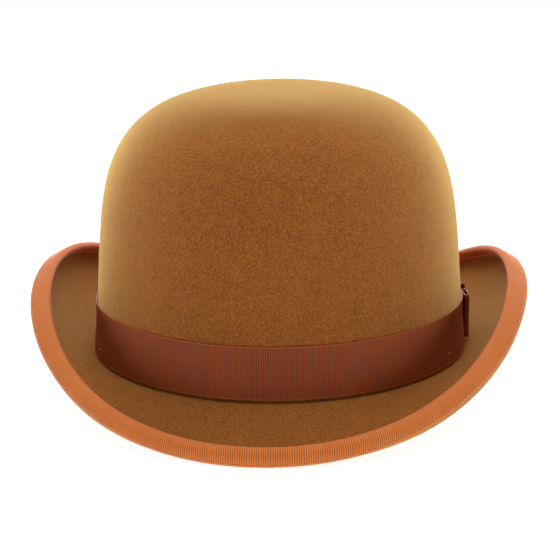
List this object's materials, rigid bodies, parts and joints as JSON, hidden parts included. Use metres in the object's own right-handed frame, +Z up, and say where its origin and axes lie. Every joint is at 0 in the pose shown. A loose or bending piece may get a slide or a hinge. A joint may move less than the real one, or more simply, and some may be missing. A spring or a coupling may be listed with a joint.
{
  "type": "bowler hat",
  "caption": "Bowler hat with a domed crown of stiff felt, a ribbon band and side bow, a ribbon-bound brim curled up at the sides, and a lined, leather-banded inside.",
  "frame": {"origin": "middle of the hat's footprint on the table, under the brim", "axes": "+Z up through the crown; +Y towards the back of the hat; +X towards the wearer's left, the bow's side"},
  "size_m": [0.2404, 0.292, 0.1431],
  "materials": {
    "wool_felt": "camel wool felt, matt, with a short brushed nap",
    "binding_grosgrain": "orange-rust grosgrain ribbon, fine ribs across the edge",
    "band_grosgrain": "rust grosgrain ribbon, fine upright ribs",
    "rust_thread": "polyester sewing thread, slight sheen",
    "sweatband_leather": "smooth brown leather, semi-matt",
    "clear_reed": "clear filament",
    "reed_tape_cotton": "plain cotton tape",
    "lining_satin": "golden-brown satin",
    "clear_sheet": "thin clear sheet",
    "blank_label": "blank woven label"
  },
  "bodies": {
    "root": {"felt_body": "wool_felt", "brim_binding": "binding_grosgrain", "binding_needle_thread": "rust_thread", "binding_bobbin_thread": "rust_thread", "hat_band": "band_grosgrain", "bow_loops": "band_grosgrain", "bow_knot": "band_grosgrain", "band_tack_right": "rust_thread", "band_tack_left": "rust_thread", "band_tack_rear": "rust_thread", "sweatband": "sweatband_leather", "sweatband_reed": "clear_reed", "reed_tape": "reed_tape_cotton", "sweatband_thread": "rust_thread", "sweatband_seam_thread": "rust_thread", "sweatband_bow": "band_grosgrain", "size_label": "blank_label", "lining_side": "lining_satin", "lining_tip": "lining_satin", "lining_piping": "lining_satin", "tip_guard": "clear_sheet"}
  },
  "joints": []
}
